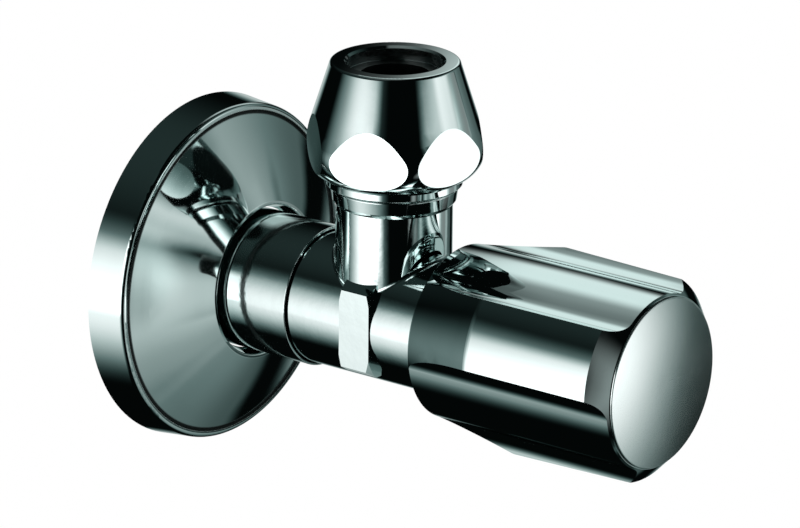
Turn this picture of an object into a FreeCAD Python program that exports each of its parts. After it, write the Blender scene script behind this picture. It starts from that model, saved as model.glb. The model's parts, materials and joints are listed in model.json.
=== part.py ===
import FreeCAD, Part
import math
import os
from FreeCAD import Vector

# An angle valve that feeds a tap from a pipe in the wall.
# The inlet axis runs along Y: the wall is the plane y = 0, the threaded tail points to +Y
# into the wall and the handle to -Y. The outlet points up, along +Z.
# A distance is measured forward from the wall, a height up from the inlet axis.
# All sizes are in millimetres. The valve is drawn closed, with its nut screwed down.

# Inlet tail with a G 1/2 thread
inlet_thread_radius = 10.478
tail_length = 8.0
thread_front = 4.0
thread_chamfer = 1.0
relief_depth = 1.3
relief_length = 1.5
water_bore_radius = 5.0

# Barrel and hexagon of the body
barrel_step = 0.2
barrel_front = 52.0
body_hexagon_width = 21.0
body_hexagon_length = 5.6
body_hexagon_offset = 0.54
body_hexagon_height = 14.6
hexagon_chamfer_height = 0.8
hexagon_chamfer_length = 0.45

# Seat and chamber
seat_setback = 8.06
seat_bore_radius = 4.0
seat_land = 0.7
seat_height = 1.0
throat_length = 2.0
chamber_step = 0.4

# Outlet neck with a G 3/8 thread
neck_distance = 37.56
neck_radius = 8.85
neck_fillet = 0.8
collar_height = 17.8
collar_lower_radius = 9.4
collar_upper_radius = 9.7
collar_length = 2.8
collar_flare_length = 0.7
collar_rounding = 0.3
outlet_thread_radius = 8.33
outlet_bore_radius = 4.0
neck_top = 33.0
socket_floor = 22.0
mouth_depth = 3.0
mouth_flare = 1.7
neck_chamfer = 0.6

# Pipe and what grips it
pipe_radius = 5.0
socket_clearance = 0.1
ferrule_clearance = 0.15
nut_hole_clearance = 0.3
cone_gap = 0.14
ferrule_tip = 0.3
ferrule_rounding = 0.3

# Union nut
nut_flat_width = 24.5
nut_flat_turn = 19.0
nut_gap = 0.2
nut_rise = 6.93
nut_bottom_rounding = 0.2
nut_band_radius = 10.3
nut_band_height = 1.1
nut_belly_radius = 14.74
nut_belly_height = 3.5
nut_belly_rounding = 5.0
nut_top_radius = 9.75
nut_edge_rounding = 0.5
nut_recess_radius = 7.3
nut_recess_depth = 2.1
nut_recess_chamfer = 0.35
nut_hole_length = 1.8
nut_cone_step = 0.3

# Clearances between threads, and how far a cut runs past what it opens
thread_clearance = 0.05
nut_thread_clearance = 0.1
overshoot = 1.0

# Cover sleeve
sleeve_clearance = 0.07
sleeve_wall = 0.3
sleeve_setback = 1.0
sleeve_front = 25.0
sleeve_rounding = 0.15

# Rosette, drawn from one sheet
rosette_rim_radius = 27.0
rosette_band_taper = 0.65
rosette_band_height = 6.3
rosette_edge_rounding = 0.8
rosette_bead_width = 1.25
rosette_groove_depth = 0.22
rosette_height = 12.8
rosette_crown = 0.12
rosette_crown_rounding = 250.0
rosette_mouth_flare = 0.75
rosette_lip_width = 0.55
rosette_lip_rounding = 0.25
rosette_flange_length = 2.2
rosette_sheet = 0.8
rosette_clearance = 0.2

# Bonnet, the part of the headwork that screws into the body
bonnet_thread_radius = 8.35
nose_gap = 0.94
nose_step = 0.9
nose_length = 3.9
nose_rounding = 0.3
pilot_clearance = 0.15
bonnet_hexagon_setback = 0.4
bonnet_hexagon_length = 5.0
bonnet_barrel_radius = 7.2
bonnet_length = 17.0
bonnet_chamfer = 0.6

# Plunger that carries the washer; it slides and doesn't turn
plunger_bore_radius = 5.6
plunger_clearance = 0.15
guide_step = 0.2
guide_clearance = 0.1
plunger_waist = 0.85
plunger_head_length = 4.4
cup_length = 4.6
cup_wall = 0.35
cup_depth = 1.4

# Rubber washer on the seat and its screw
washer_thickness = 2.2
washer_clearance = 0.1
washer_rounding = 0.2
washer_screw_radius = 1.25
washer_screw_clearance = 0.05
washer_screw_length = 6.5
washer_screw_head_radius = 2.2
washer_screw_head_height = 1.1
washer_screw_rounding = 0.4
washer_screw_slot = 0.6

# Spindle, which turns and stays where it is
spindle_radius = 3.5
spindle_clearance = 0.15
spindle_thread_radius = 3.0
spindle_thread_length = 14.3
lead = 1.5
turns = 3.0
end_gap = 0.3
bore_end_gap = 0.5
collar_thickness = 2.0
collar_clearance = 0.15
slip_ring_thickness = 0.7
slip_ring_gap = 0.1
bonnet_neck_length = 5.4
clip_gap = 0.15
clip_thickness = 0.6
clip_width = 1.85
clip_groove_depth = 0.5
clip_opening = 60.0
spline_count = 20
spline_depth = 0.4
spline_clearance = 0.08
spindle_chamfer = 0.4

# O-rings, given as the round section's thickness
bonnet_ring_section = 1.25
plunger_ring_section = 1.2
spindle_ring_section = 0.76
ring_squeeze_gap = 0.04
ring_groove_play = 0.35
spindle_ring_pitch = 2.2

# Handle: a round grip with three lobes
handle_overlap = 2.0
handle_length = 37.05
grip_radius = 13.35
grip_rear_inset = 0.6
grip_rear_rounding = 0.5
lobe_count = 3
lobe_turn = 37.0
lobe_width = 10.8
lobe_fillet = 4.4
lobe_crest_radius = 16.2
lobe_crest_distance = 13.0
lobe_crest_rounding = 3.0
lobe_front_radius = 15.7
lobe_chamfer = 2.35
rim_rounding = 0.28
rim_wall = 0.35
rim_length = 0.85
handle_clearance = 0.4
cavity_step = 0.3
cavity_lip = 1.5
hub_radius = 6.8
hub_gap = 0.9
web_thickness = 2.0
web_rim = 1.0

# Splined bush between spindle and handle
bush_width = 10.4
bush_clearance = 0.1
bush_end_gap = 0.2

# Handle screw and cap
screw_radius = 1.95
screw_clearance = 0.05
screw_hole_clearance = 0.2
screw_length = 9.5
screw_head_radius = 3.6
screw_head_height = 2.4
screw_head_rounding = 1.2
screw_chamfer = 0.5
screw_recess_width = 1.1
screw_recess_depth = 1.3
screw_hole_extra = 1.0
front_cavity_depth = 4.2
cap_gap = 0.1
cap_edge = 1.2
cap_edge_rounding = 0.2
cap_dome = 0.35
cap_crown_reach = 0.93
skirt_wall = 0.9
skirt_length = 3.2
skirt_clearance = 0.15
skirt_bead = 0.1
skirt_slots = 4
skirt_slot_width = 2.0
ledge_width = 1.65

# Places that follow from the sizes above, as distances from the wall
relief_front = thread_front + relief_length
sleeve_rear = thread_front + sleeve_setback
seat_distance = neck_distance - seat_setback
chamber_floor = seat_distance - seat_height
nose_distance = neck_distance + outlet_bore_radius + nose_gap
nose_end = nose_distance + nose_length
bonnet_front = barrel_front + bonnet_length
shoulder_distance = bonnet_front - bonnet_neck_length
collar_front = shoulder_distance - slip_ring_gap - slip_ring_thickness
collar_rear = collar_front - collar_thickness
spindle_tip = collar_rear - spindle_thread_length
travel = lead * turns
plunger_front = collar_rear - travel - end_gap
plunger_head_rear = nose_distance + end_gap
plunger_head_front = plunger_head_rear + plunger_head_length
guide_rear = plunger_head_front + travel + end_gap
cup_floor = seat_distance + washer_thickness
clip_rear = bonnet_front + clip_gap
clip_front = clip_rear + clip_thickness
handle_rear = barrel_front - handle_overlap
handle_front = handle_rear + handle_length
hub_rear = clip_front + hub_gap
cap_seat = handle_front - rim_length
web_front = cap_seat - front_cavity_depth
web_rear = web_front - web_thickness
spindle_front = web_rear - end_gap

# Radii that follow from the sizes above
barrel_radius = inlet_thread_radius - barrel_step
sleeve_bore = inlet_thread_radius + sleeve_clearance
sleeve_radius = sleeve_bore + sleeve_wall
rosette_hole_radius = sleeve_radius + rosette_clearance
nose_radius = bonnet_thread_radius - nose_step
pilot_radius = nose_radius + pilot_clearance
chamber_radius = pilot_radius - chamber_step
plunger_radius = plunger_bore_radius - plunger_clearance
guide_width = 2 * plunger_bore_radius * math.cos(math.radians(30)) - guide_step
collar_radius = guide_width / 2 - collar_clearance
stem_bore_radius = spindle_radius + spindle_clearance
clip_bore_radius = spindle_radius - clip_groove_depth + spindle_clearance
plunger_thread_bore = spindle_thread_radius + thread_clearance
cavity_radius = barrel_radius + handle_clearance
cap_radius = grip_radius - rim_wall - cap_gap
front_cavity_radius = grip_radius - rim_wall - ledge_width

# Heights of the nut and the ferrule
collar_top = collar_height + collar_length
nut_bottom = collar_top + nut_gap
nut_top = neck_top + nut_rise
nut_ledge = nut_top - nut_recess_depth
nut_hole_radius = pipe_radius + nut_hole_clearance
nut_cone_top = nut_ledge - nut_hole_length
socket_radius = pipe_radius + socket_clearance
mouth_floor = neck_top - mouth_depth
mouth_radius = socket_radius + mouth_flare
nut_cone_radius = mouth_radius + nut_cone_step
nut_cone_bottom = nut_cone_top - (nut_cone_radius - nut_hole_radius)


def forward(radius, distance):
    """A point beside the inlet axis."""
    return Vector(radius, -distance, 0)


def upright(radius, height):
    """A point beside the outlet axis."""
    return Vector(radius, -neck_distance, height)


def outline(corners, place):
    """A closed wire through (u, v) corners; a third value rounds the corner by that radius."""
    points = [Vector(corner[0], corner[1], 0) for corner in corners]
    stretches = []
    for number, corner in enumerate(corners):
        here = points[number]
        if len(corner) == 2:
            stretches.append([here])
            continue
        back = (points[number - 1] - here).normalize()
        ahead = (points[(number + 1) % len(points)] - here).normalize()
        half_angle = back.getAngle(ahead) / 2
        reach = corner[2] / math.tan(half_angle)
        depth = corner[2] / math.sin(half_angle) - corner[2]
        middle = here + (back + ahead).normalize() * depth
        stretches.append([here + back * reach, middle, here + ahead * reach])
    edges = []
    for number, stretch in enumerate(stretches):
        placed = [place(point.x, point.y) for point in stretch]
        if len(placed) == 3:
            edges.append(Part.Arc(*placed).toShape())
        following = stretches[(number + 1) % len(stretches)][0]
        edges.append(Part.LineSegment(placed[-1], place(following.x, following.y)).toShape())
    return Part.Wire(edges)


def turned(corners):
    """A solid turned about the inlet axis from (radius, distance) corners."""
    return Part.Face(outline(corners, forward)).revolve(Vector(), Vector(0, -1, 0), 360)


def turned_upright(corners):
    """A solid turned about the outlet axis from (radius, height) corners."""
    face = Part.Face(outline(corners, upright))
    return face.revolve(upright(0, 0), Vector(0, 0, 1), 360)


def prism(section, start, end):
    """A bar along the inlet axis with a section of (x, z) corners."""
    wire = outline(section, lambda x, z: Vector(x, -start, z))
    return Part.Face(wire).extrude(Vector(0, start - end, 0))


def polygon(sides, width, turn=0.0):
    """Corners of a regular polygon of the given width over its flats."""
    radius = width / 2 / math.cos(math.pi / sides)
    angles = [math.radians(turn) + 2 * math.pi * (side + 0.5) / sides for side in range(sides)]
    return [(radius * math.cos(angle), radius * math.sin(angle)) for angle in angles]


def spline_section(play):
    """Corners of the serrated section, grown by the given play."""
    corners = []
    for step in range(2 * spline_count):
        angle = math.pi * step / spline_count
        radius = spindle_radius + play - (spline_depth if step % 2 else 0)
        corners.append((radius * math.cos(angle), radius * math.sin(angle)))
    return corners


def ring_groove(bottom, land, middle, section):
    """Corners that cut a groove for an O-ring into a turned outline, towards the front."""
    half = section / 2 + ring_groove_play / 2
    return [(land, middle - half), (bottom, middle - half), (bottom, middle + half), (land, middle + half)]


def o_ring(bottom, middle, section):
    """An O-ring that lies in the groove with the given bottom radius."""
    radius = bottom + ring_squeeze_gap + section / 2
    return Part.makeTorus(radius, section / 2, forward(0, middle), Vector(0, -1, 0))


def chamfered_hexagon(width, start, end, chamfer_height, chamfer_length):
    """A hexagon whose corners are turned off at both ends, with corners up and down."""
    corner = width / 2 / math.cos(math.radians(30))
    disc = turned([(0, start), (corner - chamfer_height, start), (corner, start + chamfer_length),
                   (corner, end - chamfer_length), (corner - chamfer_height, end), (0, end)])
    return prism(polygon(6, width), start, end).common(disc)


def root_edges(solid, radii):
    """The edges of a solid where two of its cylinders with the given radii meet."""
    wanted = sorted(round(radius, 3) for radius in radii)
    found = []
    for edge in solid.Edges:
        surfaces = [face.Surface for face in solid.ancestorsOfType(edge, Part.Face)]
        cylinders = [surface for surface in surfaces if isinstance(surface, Part.Cylinder)]
        meeting = sorted(round(cylinder.Radius, 3) for cylinder in cylinders)
        if meeting == wanted:
            found.append(edge)
    return found


def valve_body():
    """Forged body: threaded tail, barrel with a cut-off hexagon, seat, and the outlet neck."""
    thread_end_radius = inlet_thread_radius - thread_chamfer
    relief_radius = inlet_thread_radius - relief_depth
    barrel = turned([
        (0, -tail_length), (thread_end_radius, -tail_length),
        (inlet_thread_radius, thread_chamfer - tail_length), (inlet_thread_radius, thread_front),
        (relief_radius, thread_front + relief_length / 3), (relief_radius, relief_front),
        (barrel_radius, relief_front), (barrel_radius, barrel_front), (0, barrel_front)])
    neck = turned_upright([
        (0, 0), (neck_radius, 0), (neck_radius, collar_height),
        (collar_lower_radius, collar_height + collar_flare_length),
        (collar_upper_radius, collar_top, collar_rounding),
        (outlet_thread_radius, collar_top), (outlet_thread_radius, neck_top - neck_chamfer),
        (outlet_thread_radius - neck_chamfer, neck_top), (0, neck_top)])
    hexagon_rear = neck_distance + body_hexagon_offset - body_hexagon_length / 2
    hexagon_front = hexagon_rear + body_hexagon_length
    hexagon = chamfered_hexagon(body_hexagon_width, hexagon_rear, hexagon_front,
                                hexagon_chamfer_height, hexagon_chamfer_length)
    side, top = body_hexagon_width, body_hexagon_height / 2
    level = prism([(-side, -top), (side, -top), (side, top), (-side, top)], hexagon_rear, hexagon_front)
    tee = barrel.fuse(neck).removeSplitter()
    tee = tee.makeFillet(neck_fillet, root_edges(tee, [neck_radius, barrel_radius]))
    outside = tee.fuse(hexagon.common(level)).removeSplitter()

    thread_bore = bonnet_thread_radius + thread_clearance
    land_radius = seat_bore_radius + seat_land
    throat = seat_distance - throat_length
    waterway = turned([
        (0, -tail_length - overshoot), (water_bore_radius, -tail_length - overshoot),
        (water_bore_radius, throat - (water_bore_radius - seat_bore_radius)), (seat_bore_radius, throat),
        (seat_bore_radius, seat_distance), (land_radius, seat_distance),
        (land_radius + seat_height / 2, chamber_floor), (chamber_radius, chamber_floor),
        (chamber_radius, nose_distance - chamber_step), (pilot_radius, nose_distance),
        (pilot_radius, nose_end), (thread_bore, nose_end + (thread_bore - pilot_radius)),
        (thread_bore, barrel_front + overshoot), (0, barrel_front + overshoot)])
    outlet = turned_upright([
        (0, 0), (outlet_bore_radius, 0), (outlet_bore_radius, socket_floor), (socket_radius, socket_floor),
        (socket_radius, mouth_floor), (mouth_radius, neck_top), (mouth_radius, neck_top + overshoot),
        (0, neck_top + overshoot)])
    return outside.cut([waterway, outlet])


def cover_sleeve():
    """Thin tube that covers the barrel between the rosette and the neck."""
    return turned([(sleeve_bore, sleeve_rear), (sleeve_radius, sleeve_rear),
                   (sleeve_radius, sleeve_front, sleeve_rounding), (sleeve_bore, sleeve_front)])


def rosette():
    """Wall rosette: a tapered band, a bead at its edge and a face with a flared hole flange."""
    edge_radius = rosette_rim_radius - rosette_band_taper
    face_radius = edge_radius - rosette_bead_width
    face_start = rosette_band_height - rosette_groove_depth
    mouth_radius = rosette_hole_radius + rosette_mouth_flare
    lip_radius = mouth_radius + rosette_lip_width
    flange_radius = rosette_hole_radius + rosette_sheet
    flange_rear = rosette_height - rosette_flange_length
    crown_radius = (face_radius + lip_radius) / 2
    crown_distance = (face_start + rosette_height) / 2 + rosette_crown
    inner_lip = rosette_height - rosette_sheet
    return turned([
        (rosette_rim_radius, 0), (edge_radius, rosette_band_height, rosette_edge_rounding),
        (face_radius + rosette_groove_depth, rosette_band_height), (face_radius, face_start),
        (crown_radius, crown_distance, rosette_crown_rounding),
        (lip_radius, rosette_height, rosette_lip_rounding),
        (mouth_radius, rosette_height, rosette_lip_rounding), (rosette_hole_radius, flange_rear),
        (flange_radius, flange_rear), (lip_radius, inner_lip),
        (crown_radius, crown_distance - rosette_sheet, rosette_crown_rounding),
        (face_radius, face_start - rosette_sheet),
        (edge_radius - rosette_sheet, rosette_band_height - rosette_sheet),
        (rosette_rim_radius - rosette_sheet, 0)])


def union_nut():
    """Union nut: a bellied form over a round band, six flats, a thread, a cone and a recessed top."""
    thread_bore = outlet_thread_radius + nut_thread_clearance
    form = turned_upright([
        (thread_bore + thread_chamfer / 2, nut_bottom),
        (nut_band_radius, nut_bottom, nut_bottom_rounding), (nut_band_radius, nut_bottom + nut_band_height),
        (nut_belly_radius, nut_bottom + nut_belly_height, nut_belly_rounding),
        (nut_top_radius, nut_top, nut_edge_rounding),
        (nut_recess_radius + nut_recess_chamfer, nut_top),
        (nut_recess_radius, nut_top - nut_recess_chamfer), (nut_recess_radius, nut_ledge),
        (nut_hole_radius, nut_ledge), (nut_hole_radius, nut_cone_top),
        (nut_cone_radius, nut_cone_bottom), (nut_cone_radius, nut_cone_bottom - nut_cone_step),
        (thread_bore, nut_cone_bottom - nut_cone_step), (thread_bore, nut_bottom + thread_chamfer / 2)])
    flats = outline(polygon(6, nut_flat_width, nut_flat_turn), lambda x, y: Vector(x, y - neck_distance, 0))
    return form.common(Part.Face(flats).extrude(Vector(0, 0, nut_top + overshoot)))


def ferrule():
    """Olive ring with a cone at each end, between the neck's mouth and the nut's cone."""
    bore = pipe_radius + ferrule_clearance
    slope = mouth_flare / mouth_depth
    belly_radius = mouth_radius - cone_gap
    tip_radius = bore + ferrule_tip
    lower_tip = neck_top - (belly_radius - tip_radius) / slope
    upper_start = nut_cone_bottom + cone_gap / 2
    upper_tip = upper_start + (belly_radius - tip_radius)
    return turned_upright([
        (bore, lower_tip), (tip_radius, lower_tip), (belly_radius, neck_top, ferrule_rounding),
        (belly_radius, upper_start, ferrule_rounding), (tip_radius, upper_tip), (bore, upper_tip)])


def bonnet_ring_place():
    """Groove bottom and distance of the O-ring round the bonnet's nose."""
    return nose_radius - bonnet_ring_section, nose_distance + nose_length / 2


def bonnet():
    """Headwork body: nose with an O-ring groove, thread, hexagon, and the guides inside."""
    hexagon_width = 2 * (barrel_radius - bonnet_hexagon_setback) * math.cos(math.radians(30))
    hexagon_front = barrel_front + bonnet_hexagon_length
    groove_bottom, groove_middle = bonnet_ring_place()
    shaft = turned([
        (0, nose_distance), (nose_radius, nose_distance, nose_rounding),
        *ring_groove(groove_bottom, nose_radius, groove_middle, bonnet_ring_section),
        (nose_radius, nose_end), (bonnet_thread_radius, nose_end + nose_step),
        (bonnet_thread_radius, barrel_front), (bonnet_barrel_radius, barrel_front),
        (bonnet_barrel_radius, bonnet_front - bonnet_chamfer),
        (bonnet_barrel_radius - bonnet_chamfer, bonnet_front), (0, bonnet_front)])
    hexagon = chamfered_hexagon(hexagon_width, barrel_front, hexagon_front,
                                hexagon_chamfer_height, hexagon_chamfer_length)
    round_bore = turned([
        (0, nose_distance - overshoot), (plunger_bore_radius, nose_distance - overshoot),
        (plunger_bore_radius, guide_rear), (guide_width / 2, guide_rear),
        (guide_width / 2, shoulder_distance), (stem_bore_radius, shoulder_distance),
        (stem_bore_radius, bonnet_front + overshoot), (0, bonnet_front + overshoot)])
    guide = prism(polygon(6, guide_width), guide_rear, collar_rear)
    return shaft.fuse(hexagon).cut([round_bore, guide])


def plunger_ring_place():
    """Groove bottom and distance of the O-ring round the plunger's head."""
    bottom = plunger_radius - plunger_ring_section - ring_squeeze_gap
    return bottom, plunger_head_rear + plunger_head_length / 2


def plunger():
    """Sliding plunger: washer cup, waist, head with an O-ring, and the hexagon that guides it."""
    waist_radius = plunger_radius - plunger_waist
    groove_bottom, groove_middle = plunger_ring_place()
    cup_front = cup_floor - cup_depth + cup_length
    shaft = turned([
        (0, cup_floor - cup_depth), (plunger_radius, cup_floor - cup_depth), (plunger_radius, cup_front),
        (waist_radius, cup_front + plunger_waist),
        (waist_radius, plunger_head_rear - plunger_waist), (plunger_radius, plunger_head_rear),
        *ring_groove(groove_bottom, plunger_radius, groove_middle, plunger_ring_section),
        (plunger_radius, plunger_head_front), (0, plunger_head_front)])
    hexagon = chamfered_hexagon(
        guide_width - 2 * guide_clearance, plunger_head_front - overshoot, plunger_front,
        hexagon_chamfer_height / 2, hexagon_chamfer_length)
    cup_radius = plunger_radius - cup_wall
    cup_rear = cup_floor - cup_depth - overshoot
    cup = turned([(0, cup_rear), (cup_radius, cup_rear), (cup_radius, cup_floor), (0, cup_floor)])
    hole_radius = washer_screw_radius + washer_screw_clearance
    hole_end = seat_distance + washer_screw_length + bore_end_gap
    screw_hole = turned([(0, cup_rear), (hole_radius, cup_rear), (hole_radius, hole_end),
                         (0, hole_end + hole_radius)])
    bore_end = spindle_tip - travel - bore_end_gap
    thread_bore = turned([(0, bore_end), (plunger_thread_bore, bore_end),
                          (plunger_thread_bore, plunger_front + overshoot), (0, plunger_front + overshoot)])
    return shaft.fuse(hexagon).removeSplitter().cut([cup, screw_hole, thread_bore])


def seat_washer():
    """Flat rubber washer in the plunger's cup; it closes the seat."""
    outer_radius = plunger_radius - cup_wall - washer_clearance
    hole_radius = washer_screw_radius + washer_clearance
    return turned([(hole_radius, seat_distance), (outer_radius, seat_distance, washer_rounding),
                   (outer_radius, cup_floor), (hole_radius, cup_floor)])


def washer_screw():
    """Small screw that holds the washer."""
    head_rear = seat_distance - washer_screw_head_height
    end = seat_distance + washer_screw_length
    screw = turned([
        (0, head_rear), (washer_screw_head_radius, head_rear, washer_screw_rounding),
        (washer_screw_head_radius, seat_distance), (washer_screw_radius, seat_distance),
        (washer_screw_radius, end - washer_screw_rounding),
        (washer_screw_radius - washer_screw_rounding, end), (0, end)])
    corner = Vector(-washer_screw_head_radius, -head_rear - washer_screw_head_height / 2,
                    -washer_screw_slot / 2)
    slot = Part.makeBox(2 * washer_screw_head_radius, washer_screw_head_height, washer_screw_slot, corner)
    return screw.cut(slot)


def spindle_ring_places():
    """Groove bottom and distances of the two O-rings round the spindle."""
    bottom = spindle_radius - spindle_ring_section
    middle = shoulder_distance + bonnet_neck_length / 2
    return bottom, [middle - spindle_ring_pitch / 2, middle + spindle_ring_pitch / 2]


def spindle():
    """Spindle: thread in the plunger, collar behind the shoulder, ring grooves, clip groove, splines."""
    groove_bottom, groove_middles = spindle_ring_places()
    clip_bottom = spindle_radius - clip_groove_depth
    spline_rear = clip_front + hub_gap / 2
    grooves = []
    for middle in groove_middles:
        grooves += ring_groove(groove_bottom, spindle_radius, middle, spindle_ring_section)
    shaft = turned([
        (0, spindle_tip), (spindle_thread_radius - spindle_chamfer, spindle_tip),
        (spindle_thread_radius, spindle_tip + spindle_chamfer), (spindle_thread_radius, collar_rear),
        (collar_radius, collar_rear), (collar_radius, collar_front), (spindle_radius, collar_front),
        *grooves, (spindle_radius, clip_rear - clip_gap / 3), (clip_bottom, clip_rear - clip_gap / 3),
        (clip_bottom, clip_front + clip_gap / 3), (spindle_radius, clip_front + clip_gap / 3),
        (spindle_radius, spline_rear), (0, spline_rear)])
    splines = prism(spline_section(0), spline_rear, spindle_front).common(turned([
        (0, spline_rear), (spindle_radius, spline_rear), (spindle_radius, spindle_front - spindle_chamfer),
        (spindle_radius - spindle_chamfer, spindle_front), (0, spindle_front)]))
    hole_radius = screw_radius + screw_clearance
    hole_end = web_front - screw_length - screw_hole_extra
    hole = turned([(0, hole_end), (hole_radius, hole_end), (hole_radius, spindle_front + overshoot),
                   (0, spindle_front + overshoot)])
    return shaft.fuse(splines).cut(hole)


def slip_ring():
    """Thin ring that the spindle's collar turns against."""
    rear = collar_front
    front = collar_front + slip_ring_thickness
    return turned([(stem_bore_radius, rear), (collar_radius, rear), (collar_radius, front),
                   (stem_bore_radius, front)])


def spindle_clip():
    """Open spring clip in the spindle's groove, in front of the bonnet."""
    outer_radius = clip_bore_radius + clip_width
    ring = turned([(clip_bore_radius, clip_rear), (outer_radius, clip_rear), (outer_radius, clip_front),
                   (clip_bore_radius, clip_front)])
    half = math.radians(clip_opening / 2)
    reach = 2 * outer_radius
    side = reach * math.tan(half)
    opening = prism([(0, 0), (reach, -side), (reach, side)], clip_rear - overshoot, clip_front + overshoot)
    return ring.cut(opening)


def spline_bush():
    """Eight-sided bush with an inner serration, between the spindle and the handle's hub."""
    rear = hub_rear + bush_end_gap
    bar = prism(polygon(8, bush_width), rear, web_rear)
    return bar.cut(prism(spline_section(spline_clearance), rear - overshoot, web_rear + overshoot))


def lobed_section():
    """Wire of the grip's section: a circle with lobes whose sides run out in hollow fillets."""
    half_width = lobe_width / 2
    top = lobe_crest_radius + overshoot
    centre_u = half_width + lobe_fillet
    centre_v = math.sqrt((grip_radius + lobe_fillet) ** 2 - centre_u ** 2)
    foot_angle = math.atan2(centre_u, centre_v)
    middle_angle = (math.pi / 2 + foot_angle) / 2 - math.pi / 4
    bend = Vector(centre_u - lobe_fillet * math.cos(middle_angle),
                  centre_v - lobe_fillet * math.sin(middle_angle))
    foot = Vector(grip_radius * math.sin(foot_angle), grip_radius * math.cos(foot_angle))
    edges = []
    for lobe in range(lobe_count):
        turn = math.radians(lobe_turn) + 2 * math.pi * lobe / lobe_count
        next_turn = turn + math.pi / lobe_count

        def place(u, v, angle=turn):
            return Vector(v * math.cos(angle) - u * math.sin(angle), -handle_rear,
                          v * math.sin(angle) + u * math.cos(angle))

        side = [place(-foot.x, foot.y), place(-bend.x, bend.y), place(-half_width, centre_v),
                place(-half_width, top), place(half_width, top), place(half_width, centre_v),
                place(bend.x, bend.y), place(foot.x, foot.y)]
        flute = place(0, grip_radius, next_turn)
        next_foot = place(-foot.x, foot.y, next_turn + math.pi / lobe_count)
        edges += [Part.Arc(*side[0:3]).toShape(), Part.LineSegment(side[2], side[3]).toShape(),
                  Part.LineSegment(side[3], side[4]).toShape(), Part.LineSegment(side[4], side[5]).toShape(),
                  Part.Arc(*side[5:8]).toShape(), Part.Arc(side[7], flute, next_foot).toShape()]
    return Part.Wire(edges)


def handle_grip():
    """Three-lobed grip: the lobes swell from the rear and end in chamfers round the front rim."""
    envelope = turned([
        (0, handle_rear), (grip_radius - grip_rear_inset, handle_rear, grip_rear_rounding),
        (grip_radius, handle_rear + grip_rear_inset),
        (lobe_crest_radius, handle_rear + lobe_crest_distance, lobe_crest_rounding),
        (lobe_front_radius, handle_front - rim_rounding - lobe_chamfer),
        (grip_radius, handle_front - rim_rounding), (grip_radius - rim_rounding, handle_front),
        (0, handle_front)])
    section = Part.Face(lobed_section()).extrude(Vector(0, -handle_length, 0))
    inner_radius = cavity_radius + cavity_step
    rear_cavity = turned([
        (0, handle_rear - overshoot), (cavity_radius, handle_rear - overshoot),
        (cavity_radius, handle_rear + cavity_lip),
        (inner_radius, handle_rear + cavity_lip + cavity_step), (inner_radius, web_rear - web_rim),
        (hub_radius, web_rear - web_rim), (hub_radius, hub_rear), (0, hub_rear)])
    socket = prism(polygon(8, bush_width + 2 * bush_clearance), hub_rear - overshoot, web_rear)
    hole_radius = screw_radius + screw_hole_clearance
    hole = turned([(0, web_rear - overshoot), (hole_radius, web_rear - overshoot),
                   (hole_radius, web_front + overshoot), (0, web_front + overshoot)])
    recess_radius = grip_radius - rim_wall
    front_cavity = turned([
        (0, web_front), (front_cavity_radius, web_front), (front_cavity_radius, cap_seat),
        (recess_radius, cap_seat), (recess_radius, handle_front + overshoot), (0, handle_front + overshoot)])
    return envelope.common(section).cut([rear_cavity, socket, hole, front_cavity])


def handle_screw():
    """Screw through the handle's web into the spindle."""
    head_front = web_front + screw_head_height
    end = web_front - screw_length
    screw = turned([
        (0, end), (screw_radius - screw_chamfer, end), (screw_radius, end + screw_chamfer),
        (screw_radius, web_front), (screw_head_radius, web_front),
        (screw_head_radius, head_front, screw_head_rounding), (0, head_front)])
    blades = []
    for turn in (0, 90):
        corner = Vector(-screw_head_radius / 2, -head_front - overshoot, -screw_recess_width / 2)
        blade = Part.makeBox(screw_head_radius, screw_recess_depth + overshoot, screw_recess_width, corner)
        blade.rotate(Vector(), Vector(0, 1, 0), turn)
        blades.append(blade)
    return screw.cut(blades)


def handle_cap():
    """Crowned end disc with a slotted skirt that snaps into the grip."""
    edge_front = cap_seat + cap_edge
    skirt_radius = front_cavity_radius - skirt_clearance
    skirt_rear = cap_seat - skirt_length
    half_radius = cap_radius / 2
    crown_rounding = cap_crown_reach * half_radius / math.tan(math.atan(cap_dome / half_radius) / 2)
    disc = turned([(0, cap_seat), (cap_radius, cap_seat), (cap_radius, edge_front, cap_edge_rounding),
                   (half_radius, edge_front + cap_dome, crown_rounding), (0, edge_front + cap_dome)])
    skirt = turned([
        (skirt_radius - skirt_wall, skirt_rear), (skirt_radius, skirt_rear),
        (skirt_radius + skirt_bead, skirt_rear + skirt_wall / 2), (skirt_radius, skirt_rear + skirt_wall),
        (skirt_radius, cap_seat + cap_edge / 2), (skirt_radius - skirt_wall, cap_seat + cap_edge / 2)])
    slots = []
    for slot in range(skirt_slots):
        corner = Vector(skirt_radius - 2 * skirt_wall, -cap_seat, -skirt_slot_width / 2)
        box = Part.makeBox(3 * skirt_wall, skirt_length + overshoot, skirt_slot_width, corner)
        box.rotate(Vector(), Vector(0, 1, 0), 360 * slot / skirt_slots)
        slots.append(box)
    return disc.fuse(skirt.cut(slots)).removeSplitter()


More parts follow.
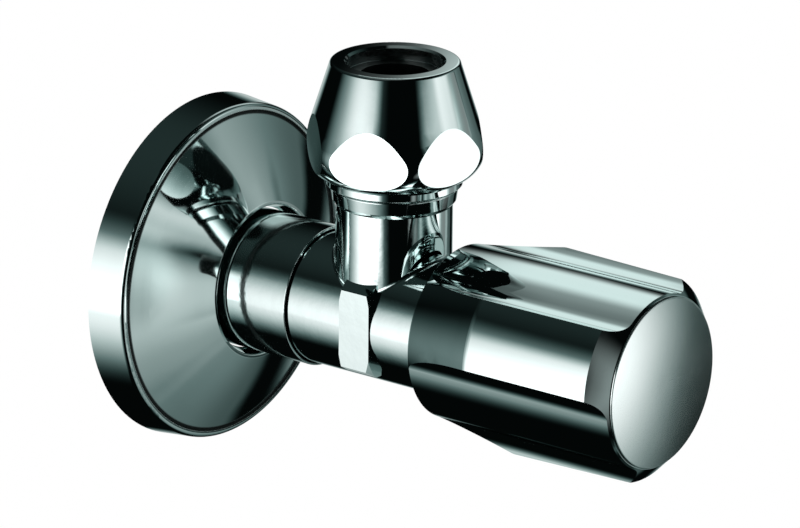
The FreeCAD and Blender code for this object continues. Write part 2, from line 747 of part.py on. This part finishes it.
def build():
    """All the pieces by the name of their node."""
    spindle_bottom, spindle_middles = spindle_ring_places()
    pieces = {
        "valve_body": valve_body(),
        "cover_sleeve": cover_sleeve(),
        "rosette": rosette(),
        "union_nut": union_nut(),
        "ferrule": ferrule(),
        "bonnet": bonnet(),
        "bonnet_seal": o_ring(*bonnet_ring_place(), bonnet_ring_section),
        "plunger": plunger(),
        "plunger_o_ring": o_ring(*plunger_ring_place(), plunger_ring_section),
        "seat_washer": seat_washer(),
        "washer_screw": washer_screw(),
        "spindle": spindle(),
        "spindle_o_ring_rear": o_ring(spindle_bottom, spindle_middles[0], spindle_ring_section),
        "spindle_o_ring_front": o_ring(spindle_bottom, spindle_middles[1], spindle_ring_section),
        "slip_ring": slip_ring(),
        "spindle_clip": spindle_clip(),
        "spline_bush": spline_bush(),
        "handle_grip": handle_grip(),
        "handle_screw": handle_screw(),
        "handle_cap": handle_cap(),
    }
    return pieces


os.makedirs("parts", exist_ok=True)
for name, shape in build().items():
    solids = shape.Solids
    solid = solids[0] if len(solids) == 1 else Part.makeCompound(solids)
    solid.exportStep("parts/" + name + ".step")
    print(name, len(solids), "solid", round(solid.Volume, 1), "mm3, valid:", solid.isValid())
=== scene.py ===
import json
import math

import bmesh
import bpy
from mathutils import Matrix, Vector


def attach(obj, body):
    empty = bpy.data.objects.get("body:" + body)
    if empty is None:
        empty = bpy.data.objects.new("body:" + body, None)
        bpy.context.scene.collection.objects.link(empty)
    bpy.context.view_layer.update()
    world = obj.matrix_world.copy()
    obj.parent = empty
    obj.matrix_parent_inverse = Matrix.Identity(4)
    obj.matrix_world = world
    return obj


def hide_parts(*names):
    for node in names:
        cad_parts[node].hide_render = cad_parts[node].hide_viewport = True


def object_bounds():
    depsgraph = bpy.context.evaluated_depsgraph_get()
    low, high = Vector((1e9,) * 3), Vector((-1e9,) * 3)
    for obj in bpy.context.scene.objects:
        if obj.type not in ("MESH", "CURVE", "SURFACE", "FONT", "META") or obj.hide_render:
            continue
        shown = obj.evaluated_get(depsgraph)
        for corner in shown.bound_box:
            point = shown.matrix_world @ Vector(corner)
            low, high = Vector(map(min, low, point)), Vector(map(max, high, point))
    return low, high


# The looks of an angle valve: polished chrome body, rosette, nut and grip, with a satin end cap.
# All sizes are in metres, and the inlet axis runs along Y as in the frame.
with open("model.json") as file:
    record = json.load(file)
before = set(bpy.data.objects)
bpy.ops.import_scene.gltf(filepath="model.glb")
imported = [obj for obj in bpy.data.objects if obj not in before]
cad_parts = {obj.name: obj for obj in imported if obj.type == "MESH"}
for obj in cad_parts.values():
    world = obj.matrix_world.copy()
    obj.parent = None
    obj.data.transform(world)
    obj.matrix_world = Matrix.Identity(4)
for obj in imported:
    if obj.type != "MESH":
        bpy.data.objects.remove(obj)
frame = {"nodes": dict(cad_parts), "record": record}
nodes = frame["nodes"]
cad_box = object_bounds()

# Camera, at the photograph's viewing angle
PHOTO_WIDTH, PHOTO_HEIGHT = 800, 528
TARGET = Vector((0, -0.04, 0))
TARGET_PIXEL = (406.159, 316.118)
AZIMUTH = math.radians(-52.646)
ELEVATION = math.radians(18.817)
ROLL = math.radians(0.46)
FOCAL_PIXELS = 5997.57
DISTANCE = 0.906227
SENSOR = 36.0
CLIP_NEAR, CLIP_FAR = 0.01, 50

# Threads: the groove's depth as a share of the pitch, the share of the pitch that crest and root
# each round off, and how much of the flank between them is straight
THREAD_DEPTH = 0.6403
ROUNDED_SHARE = 0.17
STRAIGHT_SHARE = 0.4

# Cutting a thread: the distance that merges vertices, the distance within which a vertex lies on the
# plain outline, the share of the length left free at each end, and the small step for slopes
MERGE_DISTANCE = 1e-6
ON_OUTLINE = 2e-6
GRID_INSET = 0.002
SLOPE_STEP = 0.01

# A point of the axis that the outlet neck and the union nut share
OUTLET_FOOT = Vector((0, -0.03756, 0))

# Colours of the finishes
CHROME = (0.77, 0.87, 0.86)
SATIN_CHROME = (0.76, 0.84, 0.83)
BRASS = (0.83, 0.63, 0.33)
STEEL = (0.62, 0.63, 0.64)
RUBBER = (0.03, 0.03, 0.032)
PLASTIC = (0.82, 0.82, 0.78)

# Painted shade in the nut's mouth and the rosette's groove, where the chrome is also made rough: how dark
# the painted shade is, how rough the chrome, and where both lie, as radii from their axes that go bright,
# dark, dark, bright
PAINTED_SHADE_SHARE = 0.06
DULL_ROUGHNESS = 0.45
NUT_MOUTH_PAINTED_SHADE = (-0.001, 0.0, 0.00715, 0.0074)
ROSETTE_GROOVE_PAINTED_SHADE = (0.0246, 0.02485, 0.0253, 0.0255)

# Noise in the finishes: clouds a centimetre wide move the roughness, and finer grain bumps the surface
CLOUD_SCALE = 90.0
CLOUD_DETAIL = 4.0
CLOUD_LOW, CLOUD_HIGH = 0.3, 0.7
CLOUD_SWING = 0.3
GRAIN_DETAIL = 3.0
PLATING_DEPTH = 0.000003

# Studio: a pale floor in a white room, and round the valve a dark tent that only its chrome mirrors
FLOOR_DROP = 0.55
FLOOR_SIZE = 30.0
ROOM_STRENGTH = 1.0
WHITE = (1, 1, 1, 1)
BLACK = (0, 0, 0, 1)
TENT_RADIUS = 0.5
TENT_CENTRE = Vector((0, -0.04, 0.012))
TENT_SEGMENTS = 64
TENT_GLOW = 0.002

# Degrees
HALF_TURN = 180.0

# The tent's colour at some levels of its light: the dim cloth is greener than the bright
TENT_TINTS = ((0.05, (0.03, 0.05, 0.048)), (0.2, (0.145, 0.2, 0.195)), (0.6, (0.54, 0.6, 0.59)))

# Lit panels of the tent as (middle, azimuths from it, elevations, strength), all angles in degrees.
# Each row of four angles goes dark, lit, lit, dark, and a panel of negative strength darkens others.
PANELS = [
    (-115, (-23, 28, 29, 44), (-22, -17, 13, 24), 1.53),
    (-115, (-43, -5, -4, 54), (-58, -18, -17, 35), 1.12),
    (15, (-30, -23, -5, 13), (-67, -18, -12, 11), 0.66),
    (15, (-4, 8, 26, 72), (-73, -32, 25, 30), 0.3),
    (60, (-80, -65, -23, -3), (2, 9, 14, 21), 0.72),
    (50, (-58, -48, 14, 21), (-33, -28, 7, 15), -0.291),
    (50, (-75, -40, 36, 46), (-64, -58, -49, -39), 0.087),
    (30, (-23, -18, 12, 24), (-31, -17, -16, -11), 1.408),
    (60, (-27, -14, 27, 33), (-50, -9, 9, 59), 0.112),
    (155, (-72, -1, 128, 145), (15, 65, 66, 71), 0.029),
    (127, (-24, -6, 20, 40), (-40, -25, -5, 10), 0.55),
]

# Lit cards near the valve as (centre, azimuth and elevation, twist, half sizes, the share of them
# that fades, strength), with angles in radians
CARD_COLOUR = (0.89, 1.0, 0.985)
CARDS = [
    ((0.0721, -0.0135, 0.0744), (3.43, 0.53), -1.28, (0.0361, 0.1198), 0.7, 0.35),
    ((0.1196, -0.1172, 0.0102), (0.98, -0.5), -0.27, (0.0326, 0.0592), 0.22, 0.26),
    ((0.0819, 0.0025, 0.091), (2.03, 0.98), -0.8, (0.0315, 0.0618), 0.65, 0.54),
    ((-0.031, -0.1156, 0.0), (0.24, -0.2), 0.03, (0.0105, 0.042), 0.95, 0.3),
]


def direction(azimuth, elevation):
    """The direction at two angles in radians: azimuth 0 looks along -Y, and +X lies at a quarter turn."""
    level = math.cos(elevation)
    return Vector((math.sin(azimuth) * level, -math.cos(azimuth) * level, math.sin(elevation)))


def place_camera():
    """The camera stands where the target lands on its pixel of the photograph."""
    back = direction(AZIMUTH, ELEVATION)
    level_right = Vector((math.cos(AZIMUTH), math.sin(AZIMUTH), 0))
    level_up = back.cross(level_right)
    right = level_right * math.cos(ROLL) + level_up * math.sin(ROLL)
    up = level_up * math.cos(ROLL) - level_right * math.sin(ROLL)
    aside = (TARGET_PIXEL[0] - PHOTO_WIDTH / 2) * DISTANCE / FOCAL_PIXELS
    above = (PHOTO_HEIGHT / 2 - TARGET_PIXEL[1]) * DISTANCE / FOCAL_PIXELS
    data = bpy.data.cameras.new("camera")
    data.sensor_width = SENSOR
    data.lens = FOCAL_PIXELS / PHOTO_WIDTH * SENSOR
    data.clip_start, data.clip_end = CLIP_NEAR, CLIP_FAR
    camera = bpy.data.objects.new("camera", data)
    bpy.context.scene.collection.objects.link(camera)
    stand = TARGET - right * aside - up * above + back * DISTANCE
    turn = Matrix((right, up, back)).transposed().to_4x4()
    camera.matrix_world = Matrix.Translation(stand) @ turn
    bpy.context.scene.camera = camera


class Nodes:
    """Short calls for a node tree: a new node, its links and a few sums."""

    def __init__(self, tree):
        self.tree = tree
        tree.nodes.clear()

    def new(self, kind, settings=None, **inputs):
        """A node whose inputs, named with underscores for blanks, are numbers, colours or sockets."""
        node = self.tree.nodes.new(kind)
        for name, value in (settings or {}).items():
            setattr(node, name, value)
        for name, value in inputs.items():
            slot = int(name[1:]) if name[0] == "_" else name.replace("_", " ")
            self.feed(node.inputs[slot], value)
        return node

    def feed(self, socket, value):
        """Sets an input to a value or links it to a socket."""
        if isinstance(value, bpy.types.NodeSocket):
            self.tree.links.new(value, socket)
        else:
            socket.default_value = value

    def sum(self, operation, first, second=0.0):
        """A maths node's result."""
        return self.new("ShaderNodeMath", {"operation": operation}, _0=first, _1=second).outputs[0]

    def vector(self, operation, first, second=(0, 0, 0)):
        """A vector maths node, whose first output is a vector."""
        return self.new("ShaderNodeVectorMath", {"operation": operation}, _0=first, _1=second)

    def fade(self, value, start, end):
        """0 at start and 1 at end, smooth between them."""
        settings = {"interpolation_type": "SMOOTHSTEP"}
        return self.new("ShaderNodeMapRange", settings, Value=value, From_Min=start, From_Max=end).outputs[0]

    def place(self):
        """The Object coordinates."""
        return self.new("ShaderNodeTexCoord").outputs["Object"]

    def noise(self, scale, detail):
        """Noise on Object coordinates, of the given grain per metre."""
        return self.new("ShaderNodeTexNoise", Vector=self.place(), Scale=scale, Detail=detail).outputs["Fac"]

    def clouds(self, low, high):
        """A number that wanders between two others over the surface."""
        noise = self.noise(CLOUD_SCALE, CLOUD_DETAIL)
        return self.new("ShaderNodeMapRange", Value=noise, From_Min=CLOUD_LOW, From_Max=CLOUD_HIGH,
                        To_Min=low, To_Max=high).outputs[0]

    def bump(self, grain, depth):
        """A bump from fine noise, of the given grain per metre and depth in metres."""
        noise = self.noise(grain, GRAIN_DETAIL)
        return self.new("ShaderNodeBump", Height=noise, Distance=depth, Strength=1.0).outputs[0]

    def surface(self, shader):
        """Makes a shader the material's surface."""
        self.new("ShaderNodeOutputMaterial", Surface=shader.outputs[0])


def material(name):
    """A new material and its emptied node tree."""
    made = bpy.data.materials.new(name)
    made.use_nodes = True
    return made, Nodes(made.node_tree)


def metal(name, colour, roughness, spread, grain, depth):
    """A metal whose roughness wanders a little round its value."""
    made, tree = material(name)
    rough = tree.clouds(roughness - spread, roughness + spread)
    tree.surface(tree.new("ShaderNodeBsdfPrincipled", Base_Color=(*colour, 1), Metallic=1.0,
                          Roughness=rough, Normal=tree.bump(grain, depth)))
    return made


def plain(name, colour, roughness, grain, depth):
    """A moulded plastic or rubber with a fine grain."""
    made, tree = material(name)
    tree.surface(tree.new("ShaderNodeBsdfPrincipled", Base_Color=(*colour, 1), Roughness=roughness,
                          Normal=tree.bump(grain, depth)))
    return made


def metal_with_painted_shade(name, colour, roughness, grain, centre, plane, radii):
    """Chrome with painted shade at some radii from an axis through a centre, made rough there too.

    The plane has 1 for the directions that a radius lies in and 0 for the axis's own.
    """
    made, tree = material(name)
    aside = tree.vector("SUBTRACT", tree.place(), centre).outputs[0]
    level = tree.vector("MULTIPLY", aside, plane).outputs[0]
    radius = tree.vector("LENGTH", level).outputs["Value"]
    # The mask of the radii where shade is painted into the colour and the chrome is made rough
    painted_shade_mask = tree.sum("MULTIPLY", tree.fade(radius, radii[0], radii[1]), tree.fade(radius, radii[3], radii[2]))
    polished = tree.clouds(roughness * (1 - CLOUD_SWING), roughness * (1 + CLOUD_SWING))
    rough = tree.new("ShaderNodeMix", {"data_type": "FLOAT"}, _0=painted_shade_mask, _2=polished, _3=DULL_ROUGHNESS)
    # The colour there is painted shade: the chrome's colour cut to a small share of itself
    dark = tuple(part * PAINTED_SHADE_SHARE for part in colour)
    tint = tree.new("ShaderNodeMix", {"data_type": "RGBA"}, _0=painted_shade_mask, _6=(*colour, 1), _7=(*dark, 1))
    tree.surface(tree.new("ShaderNodeBsdfPrincipled", Base_Color=tint.outputs[2], Metallic=1.0,
                          Roughness=rough.outputs[0], Normal=tree.bump(grain, PLATING_DEPTH)))
    return made


def make_finishes():
    """The finish of each material slot, with grain per metre and depth in metres."""
    return {
        "chrome": metal("polished_chrome", CHROME, roughness=0.03, spread=0.01, grain=260.0,
                        depth=PLATING_DEPTH),
        "satin_chrome": metal("satin_chrome", SATIN_CHROME, roughness=0.13, spread=0.02, grain=4000.0,
                              depth=0.0000004),
        "brass": metal("turned_brass", BRASS, roughness=0.22, spread=0.05, grain=3000.0, depth=0.000003),
        "steel": metal("plain_steel", STEEL, roughness=0.2, spread=0.05, grain=3000.0, depth=0.000003),
        "rubber": plain("black_rubber", RUBBER, roughness=0.6, grain=3000.0, depth=0.00001),
        "white_plastic": plain("moulded_plastic", PLASTIC, roughness=0.4, grain=1500.0, depth=0.00001),
    }


def make_node_finishes():
    """Chrome that differs a little from node to node: the forged body is wavy under its plating."""
    return {
        "valve_body": metal("body_chrome", CHROME, roughness=0.04, spread=0.015, grain=330.0,
                            depth=0.00002),
        "cover_sleeve": metal("sleeve_chrome", CHROME, roughness=0.065, spread=0.015, grain=500.0,
                              depth=0.00001),
        # The rosette's groove and the nut's mouth carry painted shade in their chrome
        "rosette": metal_with_painted_shade("rosette_chrome_painted_shade", CHROME, roughness=0.05, grain=120.0,
                                     centre=Vector(), plane=(1, 0, 1), radii=ROSETTE_GROOVE_PAINTED_SHADE),
        "union_nut": metal_with_painted_shade("nut_chrome_painted_shade", CHROME, roughness=0.03, grain=260.0,
                                       centre=OUTLET_FOOT, plane=(1, 1, 0), radii=NUT_MOUTH_PAINTED_SHADE),
    }


def dress_nodes():
    """Gives every carried-over node its own finish, or the one that its material slot names."""
    finishes, node_finishes = make_finishes(), make_node_finishes()
    for part in frame["record"]["subparts"]:
        mesh = nodes[part["node"]].data
        mesh.materials.clear()
        mesh.materials.append(node_finishes.get(part["node"], finishes[part["material_slot"]]))


class Thread:
    """A right-hand pipe thread cut into a plain CAD cylinder between two of its end circles.

    Each end is given as the height of its circle, the circle's radius and how much the plain radius
    grows per metre from there, up to the crest. The groove fades in over the heights of the run-out.
    """

    def __init__(self, origin, axis, side, pitch, crest, low_end, high_end, columns, rows, run_out=None):
        self.origin, self.axis, self.side = Vector(origin), Vector(axis), Vector(side)
        self.across = self.axis.cross(self.side)
        self.pitch, self.crest = pitch, crest
        self.low_end, self.high_end = low_end, high_end
        self.columns, self.rows = columns, rows
        self.run_out = run_out

    def place(self, point):
        """Height along the axis, radius and angle of a point."""
        out = point - self.origin
        aside, ahead = out.dot(self.side), out.dot(self.across)
        return out.dot(self.axis), math.hypot(aside, ahead), math.atan2(ahead, aside)

    def outline(self, height):
        """The plain radius at a height."""
        return min(self.crest, *(radius + abs(height - end) * slope
                                 for end, radius, slope in (self.low_end, self.high_end)))

    def radius(self, height, angle):
        """The cut surface's radius: the rounded groove, its run-out and the end chamfers."""
        turn = (height / self.pitch - angle / math.tau) % 1.0
        away = abs(2 * turn - 1)
        flank = min(max((away - ROUNDED_SHARE) / (1 - 2 * ROUNDED_SHARE), 0), 1)
        rounded = STRAIGHT_SHARE * flank + (1 - STRAIGHT_SHARE) * flank * flank * (3 - 2 * flank)
        cut = THREAD_DEPTH * self.pitch * (1 - rounded)
        if self.run_out:
            start, end = self.run_out
            cut *= min(max((height - start) / (end - start), 0), 1)
        return min(self.crest - cut, self.outline(height))

    def point(self, height, angle):
        """A point of the cut surface."""
        outwards = self.side * math.cos(angle) + self.across * math.sin(angle)
        return self.origin + self.axis * height + outwards * self.radius(height, angle)

    def normal(self, height, angle):
        """The surface's direction at a point, from its slopes along and round the axis."""
        step = self.pitch * SLOPE_STEP
        rise = (self.radius(height + step, angle) - self.radius(height - step, angle)) / (2 * step)
        ahead, behind = self.radius(height, angle + SLOPE_STEP), self.radius(height, angle - SLOPE_STEP)
        swing = (ahead - behind) / (2 * SLOPE_STEP)
        outwards = self.side * math.cos(angle) + self.across * math.sin(angle)
        around = self.across * math.cos(angle) - self.side * math.sin(angle)
        return (outwards - self.axis * rise - around * (swing / self.radius(height, angle))).normalized()

    def is_plain(self, face):
        """Whether a face belongs to the CAD cylinder or its end chamfers."""
        for vertex in face.verts:
            height, radius, _ = self.place(vertex.co)
            inside = self.low_end[0] - MERGE_DISTANCE < height < self.high_end[0] + MERGE_DISTANCE
            if not inside or abs(radius - self.outline(height)) > ON_OUTLINE:
                return False
        return True

    def ring(self, mesh, end):
        """The CAD's vertices on an end circle, by angle."""
        found = []
        for vertex in mesh.verts:
            height, radius, angle = self.place(vertex.co)
            near = abs(height - end[0]) < ON_OUTLINE and abs(radius - end[1]) < ON_OUTLINE
            if near and vertex.is_boundary:
                found.append((angle, vertex))
        return [vertex for _, vertex in sorted(found, key=lambda pair: pair[0])]

    def cut(self, mesh, normals):
        """Takes the plain faces away, lays the threaded surface in and joins it to the end circles."""
        plain_faces = [face for face in mesh.faces if self.is_plain(face)]
        bmesh.ops.delete(mesh, geom=plain_faces, context="FACES")
        length = self.high_end[0] - self.low_end[0]
        inset = length * GRID_INSET
        heights = [self.low_end[0] + inset + (length - 2 * inset) * row / self.rows
                   for row in range(self.rows + 1)]
        angles = [-math.pi + math.tau * column / self.columns for column in range(self.columns)]
        grid = [[mesh.verts.new(self.point(height, angle)) for angle in angles] for height in heights]
        for lower, upper in zip(grid, grid[1:]):
            for column in range(self.columns):
                after = (column + 1) % self.columns
                self.face(mesh, normals, (lower[column], lower[after], upper[after], upper[column]))
        self.join(mesh, normals, self.ring(mesh, self.low_end), grid[0])
        self.join(mesh, normals, grid[-1], self.ring(mesh, self.high_end))

    def join(self, mesh, normals, lower, upper):
        """Triangles between two rings whose vertices stand at other angles."""
        low_count, high_count = len(lower), len(upper)
        low, high = 0, 0
        while low < low_count or high < high_count:
            low_next = self.turn(lower, low + 1)
            high_next = self.turn(upper, high + 1)
            first, second = lower[low % low_count], upper[high % high_count]
            if high == high_count or (low < low_count and low_next <= high_next):
                low += 1
                corners = (first, lower[low % low_count], second)
            else:
                high += 1
                corners = (first, upper[high % high_count], second)
            self.face(mesh, normals, corners)

    def turn(self, ring, place):
        """The angle of a ring's vertex, counted on past a full turn."""
        return self.place(ring[place % len(ring)].co)[2] + math.tau * (place // len(ring))

    def face(self, mesh, normals, corners):
        """A smooth face whose corners carry the surface's directions."""
        made = mesh.faces.new(corners)
        made.smooth = True
        for loop in made.loops:
            height, _, angle = self.place(loop.vert.co)
            loop[normals] = self.normal(height, angle)


TAIL_THREAD = Thread(origin=(0, 0, 0), axis=(0, 1, 0), side=(0, 0, 1),
                     pitch=0.001814, crest=0.010478,
                     low_end=(-0.0045, 0.009178, 2.6), high_end=(0.008, 0.009478, 1.0),
                     columns=96, rows=116)
NECK_THREAD = Thread(origin=OUTLET_FOOT, axis=(0, 0, 1), side=(1, 0, 0),
                     pitch=0.001337, crest=0.00833,
                     low_end=(0.0206, 0.00833, 0.0), high_end=(0.033, 0.00773, 1.0),
                     columns=84, rows=148, run_out=(0.0213, 0.0224))


def threaded_body():
    """The body with real threads on its inlet tail and its outlet neck, in place of the plain cylinders.

    Each corner that stays keeps the direction of the CAD's shading, and each new one has the thread's.
    """
    data = nodes["valve_body"].data.copy()
    data.name = "threaded_body"
    kept = data.attributes.new("cad_normal", "FLOAT_VECTOR", "CORNER")
    for corner, normal in enumerate(data.corner_normals):
        kept.data[corner].vector = normal.vector
    mesh = bmesh.new()
    mesh.from_mesh(data)
    bmesh.ops.remove_doubles(mesh, verts=mesh.verts, dist=MERGE_DISTANCE)
    normals = mesh.loops.layers.float_vector["cad_normal"]
    for thread in (TAIL_THREAD, NECK_THREAD):
        thread.cut(mesh, normals)
    mesh.to_mesh(data)
    mesh.free()
    directions = [tuple(item.vector) for item in data.attributes["cad_normal"].data]
    data.attributes.remove(data.attributes["cad_normal"])
    data.normals_split_custom_set(directions)
    piece = bpy.data.objects.new("threaded_body", data)
    bpy.context.scene.collection.objects.link(piece)
    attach(piece, "body")
    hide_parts("valve_body")


def sheet_mesh(halves):
    """A flat rectangle round the origin, of the given half sizes."""
    mesh = bmesh.new()
    bmesh.ops.create_grid(mesh, x_segments=1, y_segments=1, size=1.0)
    bmesh.ops.scale(mesh, vec=(*halves, 1), verts=mesh.verts)
    return mesh


def studio_object(name, mesh, surface):
    """An object of the studio, from mesh code and in one material."""
    data = bpy.data.meshes.new(name)
    mesh.to_mesh(data)
    mesh.free()
    data.materials.append(surface)
    made = bpy.data.objects.new(name, data)
    bpy.context.scene.collection.objects.link(made)
    return made


def show_only_mirrored(thing):
    """Hides an object from all but mirrored and refracted rays."""
    for ray in ("camera", "diffuse", "shadow", "volume_scatter"):
        setattr(thing, "visible_" + ray, False)


def direction_angles(tree):
    """Azimuth and elevation, in degrees, of a point of the tent seen from its middle."""
    unit = tree.vector("NORMALIZE", tree.place()).outputs[0]
    parts = tree.new("ShaderNodeSeparateXYZ", Vector=unit).outputs
    flipped = tree.sum("MULTIPLY", parts[1], -1.0)
    azimuth = tree.sum("DEGREES", tree.sum("ARCTAN2", parts[0], flipped))
    elevation = tree.sum("DEGREES", tree.sum("ARCSINE", parts[2]))
    return azimuth, elevation


def panel(tree, angles, middle, sides, heights, strength):
    """A lit panel of the tent round the azimuth of its middle: each edge fades between two angles."""
    turned = tree.sum("SUBTRACT", angles[0], middle - HALF_TURN)
    aside = tree.sum("SUBTRACT", tree.sum("FLOORED_MODULO", turned, 2 * HALF_TURN), HALF_TURN)
    lit = strength
    for angle, edges in ((aside, sides), (angles[1], heights)):
        lit = tree.sum("MULTIPLY", lit, tree.fade(angle, edges[0], edges[1]))
        lit = tree.sum("MULTIPLY", lit, tree.fade(angle, edges[3], edges[2]))
    return lit


def tent_cloth():
    """The tent's glow: the sum of its panels, tinted by its level."""
    made, tree = material("tent_cloth")
    angles = direction_angles(tree)
    light = TENT_GLOW
    for place in PANELS:
        light = tree.sum("ADD", light, panel(tree, angles, *place))
    light = tree.sum("MAXIMUM", light, TENT_GLOW)
    tint = tree.new("ShaderNodeValToRGB")
    tint.color_ramp.elements[0].color = BLACK
    tint.color_ramp.elements[1].color = WHITE
    for level, colour in TENT_TINTS:
        tint.color_ramp.elements.new(level).color = (*colour, 1)
    tree.feed(tint.inputs[0], light)
    # The tint ends at white for a light of 1, and only brighter light raises the strength
    strength = tree.sum("MAXIMUM", light, 1.0)
    tree.surface(tree.new("ShaderNodeEmission", Color=tint.outputs[0], Strength=strength))
    return made


def tent():
    """A dark shell round the valve, seen only in its chrome."""
    mesh = bmesh.new()
    bmesh.ops.create_uvsphere(mesh, u_segments=TENT_SEGMENTS, v_segments=TENT_SEGMENTS // 2,
                              radius=TENT_RADIUS)
    shell = studio_object("tent", mesh, tent_cloth())
    shell.location = TENT_CENTRE
    show_only_mirrored(shell)


def card_light(halves, fading, strength):
    """A card's glow, which fades out to its edges and lets what lies behind it through."""
    made, tree = material("card_light")
    parts = tree.new("ShaderNodeSeparateXYZ", Vector=tree.place()).outputs
    light = strength
    for part, half in zip(parts, halves):
        edge = tree.sum("SUBTRACT", 1.0, tree.sum("DIVIDE", tree.sum("ABSOLUTE", part), half))
        light = tree.sum("MULTIPLY", light, tree.fade(edge, 0.0, fading))
    glow = tree.new("ShaderNodeEmission", Color=(*CARD_COLOUR, 1), Strength=light)
    clear = tree.new("ShaderNodeBsdfTransparent")
    tree.surface(tree.new("ShaderNodeAddShader", _0=glow.outputs[0], _1=clear.outputs[0]))
    return made


def card(centre, angles, twist, halves, fading, strength):
    """A soft lit card near the valve, seen only in its chrome."""
    facing = -direction(*angles)
    across = Vector((math.sin(twist), 0, math.cos(twist))).cross(facing).normalized()
    along = facing.cross(across)
    sheet = studio_object("card", sheet_mesh(halves), card_light(halves, fading, strength))
    turn = Matrix((across, along, facing)).transposed().to_4x4()
    sheet.matrix_world = Matrix.Translation(centre) @ turn
    show_only_mirrored(sheet)


def floor():
    """A plain pale floor well under the valve, which its thread holds at the wall."""
    made, tree = material("pale_floor")
    tree.surface(tree.new("ShaderNodeBsdfDiffuse", Color=WHITE))
    ground = studio_object("floor", sheet_mesh((FLOOR_SIZE / 2, FLOOR_SIZE / 2)), made)
    ground.location = (0, 0, cad_box[0].z - FLOOR_DROP)


def room():
    """A white room that lights everything evenly."""
    world = bpy.data.worlds.new("room")
    world.use_nodes = True
    tree = Nodes(world.node_tree)
    light = tree.new("ShaderNodeBackground", Color=WHITE, Strength=ROOM_STRENGTH)
    tree.new("ShaderNodeOutputWorld", Surface=light.outputs[0])
    bpy.context.scene.world = world
    bpy.context.scene.view_settings.view_transform = "Standard"


place_camera()
dress_nodes()
threaded_body()
tent()
for place in CARDS:
    card(*place)
floor()
room()
